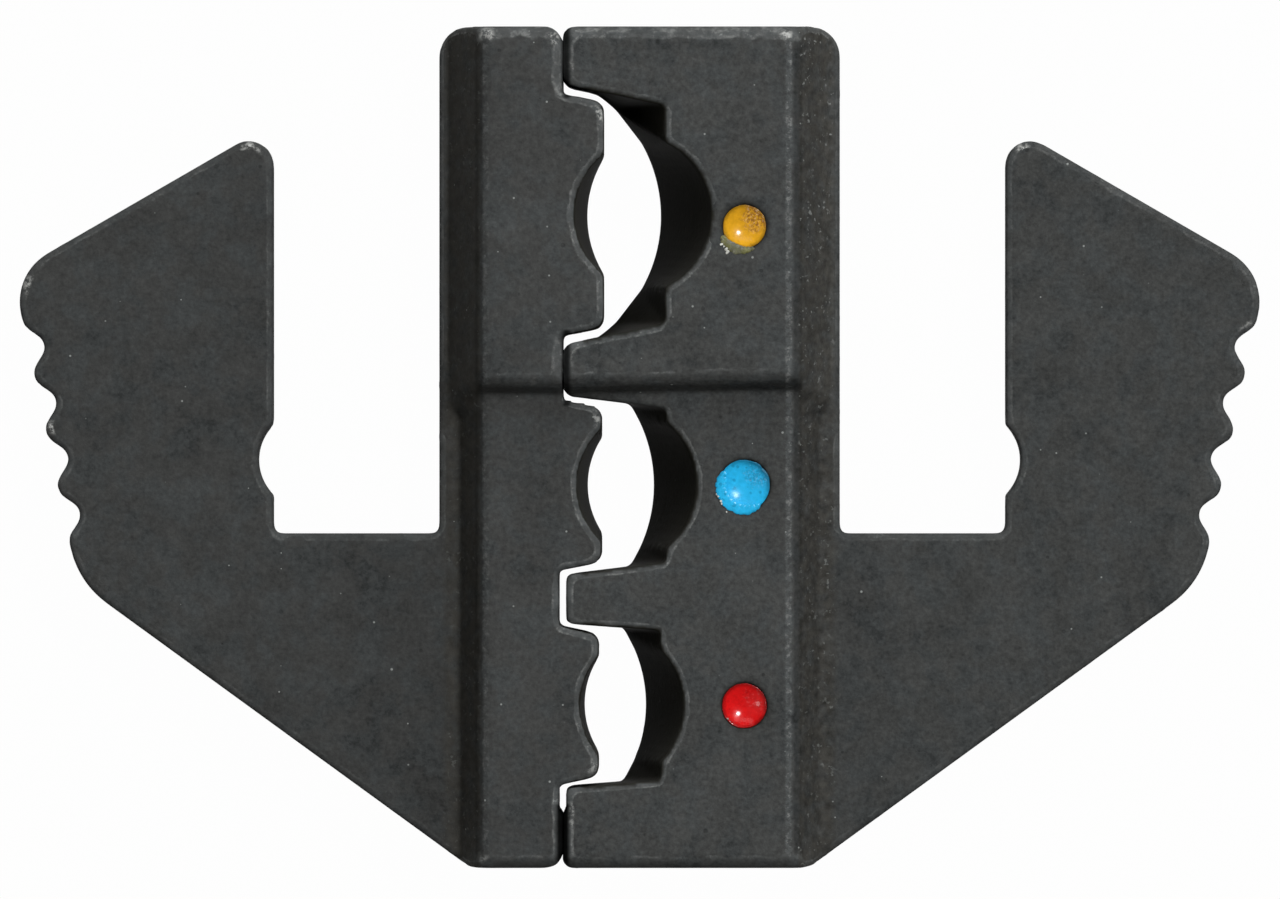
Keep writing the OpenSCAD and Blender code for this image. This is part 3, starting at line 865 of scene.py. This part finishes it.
def steel_material(name, tone, side, groups, finish, form):
    """Blackened sintered steel with grain, dust, worn edges, painted highlight and painted shade; side is 1
    for the right half
    """
    material, n, shader, vector = new_material(name)
    nest = n.attribute("nest")
    place = n.add("ShaderNodeSeparateXYZ", {"Vector": vector}).outputs
    reach = n.math("ABSOLUTE", place["X"])
    grain = n.group(groups["grain"], {"Vector": vector, "Contrast": 0.39 if side > 0 else 0.33})
    pits = specks(n, groups, vector, 1.1, 0.3, 0.11)
    dust = specks(n, groups, vector, 1.4, 0.4, 0.075)
    rim_shade = mark_halo(n, groups, vector)
    side_zone = side_edge_zone(n, place, reach, form)
    side_highlight = side_edge_line(n, vector, reach, side_zone, side, form)
    shoulder = shoulder_zone(n, reach, form)
    # painted shade in the seam where the halves touch
    seam_shade = seam_crevice(n, place, n.attribute("seam"), form)
    clear = n.rest(seam_shade)

    # painted highlight along the ridges, stronger on edges that face the top lamps, bare steel in lines and
    # worn places, and chips in the side edges
    lines = n.ramp(place["Z"], form.plate_front + 0.3 * MM, form.plate_front + 0.9 * MM, 0.4, 1.0)
    measures = {"Vector": vector, "Edge": n.attribute("edge"), "Worn": n.attribute("worn"), "Lines": lines}
    highlight_wear = n.group(groups["highlight_wear"], measures)
    normal = n.add("ShaderNodeTexCoord").outputs["Normal"]
    toward_top_lamps = n.add("ShaderNodeSeparateXYZ", {"Vector": normal}).outputs["Y"]
    toward_top_lamps = n.ramp(toward_top_lamps, -0.25, 0.08, 0.1, 1.0)
    open_steel = n.times(n.ramp(nest, 0.0, 1.0, 1.0, 0.12), n.rest(rim_shade))
    highlight_wear_share = n.times(n.times(open_steel, toward_top_lamps), n.rest(side_zone))
    chipped = n.times(side_highlight, n.ramp(n.noise(vector, 3.5, 3, 0.7), 0.53, 0.62, 0.0, 0.3))
    rubbed = n.larger(n.times(highlight_wear.outputs["Rubbed"], highlight_wear_share), side_highlight)
    bare = n.larger(n.times(highlight_wear.outputs["Bare"], highlight_wear_share), n.times(chipped, open_steel))

    # oxide: cool patches, grain, dark wrinkled smudges and pits
    cool = n.ramp(n.noise(vector, 0.7, 3, 0.6), 0.42, 0.62)
    base = n.mix(cool, colour(tone), colour(finish.cool))
    # the colour is lighter towards the front faces than lower down
    lighter_near_front = n.ramp(place["Z"], form.block_front - 0.6 * MM, form.block_front, 1.0, 1.11)
    shade = n.times(grain.outputs["Shade"], lighter_near_front)
    smudges = n.ramp(n.noise(vector, 0.35, 4, 0.7), 0.5, 0.66)
    wrinkles = n.ramp(n.noise(vector, 2.3, 3, 0.75), 0.47, 0.6, 0.1, 0.34)
    shade = n.times(shade, n.rest(n.times(smudges, wrinkles)))
    base = n.shaded(base, n.times(shade, n.ramp(pits, 0.0, 1.0, 1.0, 0.75)))

    # shoulders: brown film, mottled, with painted shade on the break at the side edge, and on the right
    # half painted light on the shoulder's outer side beside the raised station
    drawn_out = n.scaled(vector, (1, 1, 0.4))
    film = n.times(shoulder, n.ramp(n.noise(drawn_out, 1.6, 3), 0.35, 0.6, 0.3, 0.8))
    base = n.mix(film, base, colour(finish.rust))
    mottled = n.minus(n.noise(drawn_out, 2.4, 3, 0.65), 0.5)
    mottled = n.times(n.times(mottled, shoulder), 1.8 if side > 0 else 1.1)
    base = n.shaded(base, n.plus(mottled, 1.0))
    # painted shade on the break at the side edges of the front faces
    broken = n.ramp(n.gap(reach, form.face_reach - side * 0.04 * MM), 0.12 * MM, 0.25 * MM, 0.3, 0.0)
    base = n.shaded(base, n.rest(n.times(broken, side_zone)))
    # painted light: the right half's shoulder lighter towards its outer side beside the raised station
    if side > 0:
        outer = n.ramp(reach, form.face_reach + 0.5 * MM, form.block_reach - 0.4 * MM, 0.0, 0.3)
        outer = n.times(outer, n.ramp(place["Y"], form.step_y - 1 * MM, form.step_y))
        base = n.shaded(base, n.plus(1.0, n.times(outer, shoulder)))

    # painted shade in the nests, on the indenters' walls and round the marks, painted highlight along the
    # edges, worn steel, and crumbs and dust on top
    dark = n.larger(n.times(nest, 0.85), n.times(rim_shade, 0.8))
    base = n.mix(dark, base, colour(finish.soot))
    base = n.mix(n.times(rubbed, 0.55), base, colour(finish.rubbed))
    base = n.mix(n.times(bare, clear), base, colour(finish.worn))
    clusters = n.ramp(n.noise(drawn_out, 0.9, 2), 0.4, 0.6)
    crumbs = n.times(n.ramp(n.noise(drawn_out, 4.5, 2, 0.6), 0.6, 0.7), clusters)
    scattered = 0.12
    if side > 0:
        scattered = n.ramp(place["Y"], form.step_y - 6 * MM, form.step_y + 4 * MM, 0.25, 0.55)
    gritty = n.larger(n.times(rubbed, 0.35), n.times(shoulder, scattered))
    bright = n.larger(n.times(dust, 0.65), n.times(gritty, crumbs))
    base = n.mix(n.times(bright, n.times(open_steel, clear)), base, colour(finish.dust))

    n.feed(shader, "Base Color", n.shaded(base, clear))
    n.feed(shader, "Roughness", n.ramp(bare, 0.0, 1.0, 0.65, 0.45))
    n.feed(shader, "Metallic", n.times(bare, 0.4))
    shader.inputs["Specular IOR Level"].default_value = 0.01
    n.bump(shader, n.minus(grain.outputs["Height"], n.times(pits, 0.6)), 0.7, 0.035)
    return material


def paint_material(name, tone, groups, finish):
    """Dried enamel with painted shade at its border, with pinholes, and with a patch near its upper right:
    brown dirt on the yellow mark, darker paint on the others, which on the blue is painted shade
    """
    material, n, shader, vector = new_material(f"{name}_paint")
    grain = n.group(groups["grain"], {"Vector": vector, "Contrast": 0.16})
    pits = specks(n, groups, vector, 5, 0.3, 0.45)
    spot, radius = mark_spot(name)
    shift, spare = ((-0.12, -0.16, 0), 0.32) if name in SPILL else ((0, 0, 0), 0.14)
    middle = blot(n, groups, vector, spot + Vector(shift) * MM, radius / MM + spare, 0.2)
    dirt_and_shade_blot = blot(n, groups, vector, spot + Vector((0.5, 0.4, 0)) * radius, 0.75, 0.9)
    crumbs = n.ramp(n.noise(vector, 9, 3, 0.7), 0.4, 0.62)
    pale = n.ramp(n.noise(vector, 7, 2, 0.6), 0.54, 0.68)
    base = n.shaded(colour(tone), grain.outputs["Shade"])
    # painted shade at the border, where the paint meets the dimple's wall
    base = n.mix(n.ramp(middle, 0.05, 0.85, 0.9, 0.0), base, colour(tone, 0.2))
    base = n.mix(n.times(pits, PINHOLES[name]), base, colour(tone, 0.3))
    # brown dirt on the yellow mark, a darker patch of its own colour on the others, which on the blue mark
    # is painted shade
    dirt_and_shade = n.times(dirt_and_shade_blot, DIRT_AND_SHADE[name])
    dirt_and_shade_colour = colour(finish.dirt) if name == "yellow" else colour(tone, 0.3)
    base = n.mix(n.times(n.times(crumbs, dirt_and_shade), 0.8), base, dirt_and_shade_colour)
    base = n.mix(n.times(n.times(pale, dirt_and_shade), 0.45), base, colour(tone, 0.6, 0.3))
    n.feed(shader, "Base Color", base)
    rough = n.ramp(grain.outputs["Height"], 0.3, 0.7, GLOSS[name], GLOSS[name] + 0.04)
    n.feed(shader, "Roughness", n.plus(rough, n.times(n.times(dirt_and_shade, dirt_and_shade), 0.6)))
    shader.inputs["Specular IOR Level"].default_value = SHINE[name]
    n.bump(shader, grain.outputs["Height"], 0.15, 0.01)
    return material


def residue_material(name, tone, roughness, thin, groups, finish):
    """Film or flecks of dried paint, with the steel showing through thin places; the pale flecks and pale
    crumbs also paint small glints
    """
    material, n, shader, vector = new_material(name)
    grain = n.group(groups["grain"], {"Vector": vector, "Contrast": 0.6})
    crumbs = n.ramp(n.noise(vector, 6, 3, 0.7), 0.56, 0.66)
    base = n.shaded(colour(tone), grain.outputs["Shade"])
    # pale crumbs on the film, partly painted glints
    base = n.mix(n.times(crumbs, 0.25), base, colour(finish.fleck))
    gaps = n.ramp(n.noise(vector, 3, 3, 0.7), 0.42, 0.6, 0.0, thin)
    n.feed(shader, "Base Color", n.mix(gaps, base, colour(finish.nest_steel)))
    n.feed(shader, "Roughness", n.ramp(grain.outputs["Height"], 0.3, 0.7, roughness, roughness + 0.2))
    n.bump(shader, grain.outputs["Height"], 0.8, 0.03)
    return material


def build_half(context, half, side):
    """Makes the steel of a half and its piece"""
    form = context.scene.die_form
    finish = context.scene.die_finish
    name = f"{half}_steel"
    steel = steel_material(name, getattr(finish, name), side, material_groups(), finish, form)
    make_half(f"{half}_die", f"{half}_half", f"{half}_half_steel", side, steel, form)


class CRIMP_OT_indenter_half(bpy.types.Operator):
    """Builds the half with the indenters"""

    bl_idname = "crimp.indenter_half"
    bl_label = "Indenter half"

    def execute(self, context):
        build_half(context, "indenter", -1)
        return {"FINISHED"}


class CRIMP_OT_nest_half(bpy.types.Operator):
    """Builds the half with the nests"""

    bl_idname = "crimp.nest_half"
    bl_label = "Nest half"

    def execute(self, context):
        build_half(context, "nest", 1)
        return {"FINISHED"}


def flat_drops(spot, drops, height, material):
    """Flat drops that lie on the face round a mark"""
    made = []
    for x, y, size in drops:
        place = spot + Vector((x, y, 0)) * MM
        bpy.ops.mesh.primitive_ico_sphere_add(
            subdivisions=4, radius=size * MM, location=place, scale=(1, 1, height / size)
        )
        drop = bpy.context.active_object
        drop.data.materials.append(material)
        made.append(drop)
    return made


def make_plug(name, form, paint):
    """Dried paint in a dimple: a short cylinder with a hollow top"""
    spot, radius = mark_spot(name)
    depth = spot.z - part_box(f"{name}_mark")[0].z - form.paint_sink
    middle = spot - Vector((0, 0, form.paint_sink + depth / 2))
    bpy.ops.mesh.primitive_cylinder_add(vertices=72, radius=radius, depth=depth, location=middle)
    plug = bpy.context.active_object
    bpy.ops.object.mode_set(mode="EDIT")
    bpy.ops.mesh.select_mode(type="FACE")
    bpy.ops.mesh.select_all(action="DESELECT")
    bpy.ops.object.mode_set(mode="OBJECT")
    for polygon in plug.data.polygons:
        polygon.select = polygon.normal.z > 0.9
    bpy.ops.object.mode_set(mode="EDIT")
    ring = 1.0
    for inner in DISH_RINGS:
        drop = form.paint_dish * (ring * ring - inner * inner)
        bpy.ops.mesh.inset(thickness=radius * (ring - inner), depth=-drop)
        ring = inner
    bpy.ops.mesh.merge(type="CENTER")
    bpy.ops.object.mode_set(mode="OBJECT")
    plug.data.materials.append(paint)
    apply_modifier(plug, "SUBSURF", levels=2, render_levels=2)
    return plug


def make_mark(name, form, paint, film, fleck):
    """Mark of dried paint, with what ran over beside it"""
    spot, radius = mark_spot(name)
    bpy.ops.object.select_all(action="DESELECT")
    plug = make_plug(name, form, paint)
    drops = flat_drops(spot, FILM.get(name, ()), SPILL_HEIGHT, film)
    drops += flat_drops(spot, SPILL.get(name, ()), SPILL_HEIGHT, paint)
    drops += flat_drops(spot, FLECKS_AND_GLINTS[name], FLECK_HEIGHT, fleck)
    for drop in drops:
        drop.select_set(True)
    plug.select_set(True)
    bpy.context.view_layer.objects.active = plug
    bpy.ops.object.join()
    bpy.ops.object.transform_apply(location=True, rotation=True, scale=True)
    plug.name = f"{name}_paint_mark"
    plug.data.name = plug.name

    places = points_of(plug.data)
    share = np.hypot(places[:, 0] - spot.x, places[:, 1] - spot.y) / radius
    ragged = np.where(share > 1.02, 1.0, smoothstep(0.7, 1.0, share) * WOBBLE[name])
    border = weigh(plug, "border", ragged)
    outline = dict(texture=relief_texture(f"{name}_outline", 0.3 * MM), texture_coords="GLOBAL")
    lumps = dict(texture=relief_texture(f"{name}_lumps", 0.4 * MM), texture_coords="GLOBAL")
    for direction in "XY":
        displace(plug, OUTLINE_WOBBLE, 0.5, direction=direction, vertex_group=border, **outline)
    displace(plug, LUMP_HEIGHT, 0.5, direction="Z", **lumps)
    select_only(plug)
    bpy.ops.object.shade_smooth()
    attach(plug, "nest_half")
    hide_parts(f"{name}_mark")


class CRIMP_OT_paint_marks(bpy.types.Operator):
    """Builds the paint marks of the three stations"""

    bl_idname = "crimp.paint_marks"
    bl_label = "Paint marks"

    def execute(self, context):
        form = context.scene.die_form
        finish = context.scene.die_finish
        groups = material_groups()
        film = residue_material("paint_film", finish.smear, 0.4, 0.55, groups, finish)
        fleck = residue_material("paint_flecks", finish.fleck, 0.35, 0.4, groups, finish)
        for name in MARKS:
            paint = paint_material(name, getattr(finish, name), groups, finish)
            make_mark(name, form, paint, film, fleck)
        return {"FINISHED"}


def lamp(name, direction, distance, size, level):
    """Lamp of a width and height that gives a white face the given level"""
    data = bpy.data.lights.new(name, "AREA")
    data.shape = "RECTANGLE"
    data.size, data.size_y = size
    data.energy = level * math.pi * math.pi * distance * distance
    lamp_object = bpy.data.objects.new(name, data)
    away = Vector(direction).normalized()
    lamp_object.location = away * distance
    lamp_object.rotation_mode = "QUATERNION"
    lamp_object.rotation_quaternion = away.to_track_quat("Z", "Y")
    bpy.context.scene.collection.objects.link(lamp_object)


def seen_directly(n):
    """1 for rays from the camera, reflections and rays that pass through"""
    path = n.add("ShaderNodeLightPath")
    seen = n.larger(path.outputs["Is Camera Ray"], path.outputs["Is Glossy Ray"])
    return n.larger(seen, path.outputs["Is Transmission Ray"])


def floor_material(share):
    """White floor that shows the object's shadow faintly, and is clear from below"""
    material = bpy.data.materials.new("white_floor")
    material.use_nodes = True
    tree = material.node_tree
    tree.nodes.clear()
    n = Nodes(tree)
    matt = n.add("ShaderNodeBsdfDiffuse", {"Color": (0.25, 0.25, 0.24, 1)})
    glow = n.add("ShaderNodeEmission", {"Color": (1, 1, 1, 1), "Strength": 1.0})
    seen = n.times(seen_directly(n), share)
    above = n.add("ShaderNodeMixShader", {0: seen, 1: matt.outputs[0], 2: glow.outputs[0]})
    clear = n.add("ShaderNodeBsdfTransparent")
    under = n.add("ShaderNodeNewGeometry").outputs["Backfacing"]
    both = n.add("ShaderNodeMixShader", {0: under, 1: above.outputs[0], 2: clear.outputs[0]})
    n.add("ShaderNodeOutputMaterial", {"Surface": both.outputs[0]})
    return material


def studio_world(ambient):
    """Pale horizon that only the camera and reflections see, and a plain ambient light"""
    world = bpy.data.worlds.new("studio")
    world.use_nodes = True
    tree = world.node_tree
    tree.nodes.clear()
    n = Nodes(tree)
    way = n.add("ShaderNodeSeparateXYZ", {"Vector": n.add("ShaderNodeTexCoord").outputs["Generated"]})
    path = n.add("ShaderNodeLightPath")
    low = n.ramp(way.outputs["Z"], 0.05, 0.45, 1.0, 0.0)
    pale = n.larger(path.outputs["Is Camera Ray"], n.times(path.outputs["Is Glossy Ray"], low))
    plain = n.add("ShaderNodeBackground", {"Color": (1, 0.96, 0.87, 1), "Strength": ambient})
    white = n.add("ShaderNodeBackground", {"Color": (1, 1, 1, 1), "Strength": 1.0})
    mixed = n.add("ShaderNodeMixShader", {0: pale, 1: plain.outputs[0], 2: white.outputs[0]})
    n.add("ShaderNodeOutputWorld", {"Surface": mixed.outputs[0]})
    return world


class CRIMP_OT_studio(bpy.types.Operator):
    """Sets up the floor, the lamps and the camera"""

    bl_idname = "crimp.studio"
    bl_label = "Studio"

    def execute(self, context):
        studio = context.scene.die_studio
        scene = context.scene
        bpy.ops.mesh.primitive_plane_add(size=studio.floor_size, location=(0, 0, -FLOOR_GAP))
        floor = context.active_object
        floor.name = "floor"
        floor.data.materials.append(floor_material(studio.floor_glow))

        for name, (direction, distance, size) in LAMPS.items():
            lamp(name, direction, distance, size, getattr(studio, name))
        scene.world = studio_world(studio.ambient)

        data = bpy.data.cameras.new("camera")
        data.lens = studio.lens
        camera = bpy.data.objects.new("camera", data)
        distance = studio.picture_width * data.lens / data.sensor_width
        camera.location = (*VIEW_CENTRE, VIEW_HEIGHT + distance)
        data.clip_start = distance / 10
        data.clip_end = distance * 2
        scene.collection.objects.link(camera)
        scene.camera = camera
        scene.view_settings.view_transform = "Standard"
        return {"FINISHED"}


class CRIMP_PT_panel(bpy.types.Panel):
    """Lists the pieces of the die set and their settings"""

    bl_idname = "CRIMP_PT_panel"
    bl_label = "Crimp Die Set"
    bl_space_type = "VIEW_3D"
    bl_region_type = "UI"
    bl_category = "Crimp Die"

    def draw(self, context):
        layout = self.layout
        for operator in OPERATORS:
            layout.operator(operator.bl_idname)
        for group in SETTINGS:
            settings = getattr(context.scene, group)
            box = layout.box()
            for key in settings.__annotations__:
                box.prop(settings, key)


OPERATORS = (CRIMP_OT_indenter_half, CRIMP_OT_nest_half, CRIMP_OT_paint_marks, CRIMP_OT_studio)
SETTINGS = {"die_form": DieForm, "die_finish": DieFinish, "die_studio": DieStudio}


def register():
    """Registers the settings, the operators and the panel"""
    for name, group in SETTINGS.items():
        bpy.utils.register_class(group)
        setattr(bpy.types.Scene, name, PointerProperty(type=group))
    for operator in OPERATORS:
        bpy.utils.register_class(operator)
    bpy.utils.register_class(CRIMP_PT_panel)


def unregister():
    """Takes them out again"""
    bpy.utils.unregister_class(CRIMP_PT_panel)
    for operator in reversed(OPERATORS):
        bpy.utils.unregister_class(operator)
    for name, group in SETTINGS.items():
        delattr(bpy.types.Scene, name)
        bpy.utils.unregister_class(group)


def main():
    """Builds the dressed die set"""
    register()
    bpy.ops.crimp.indenter_half()
    bpy.ops.crimp.nest_half()
    bpy.ops.crimp.paint_marks()
    bpy.ops.crimp.studio()


if __name__ == "__main__":
    main()
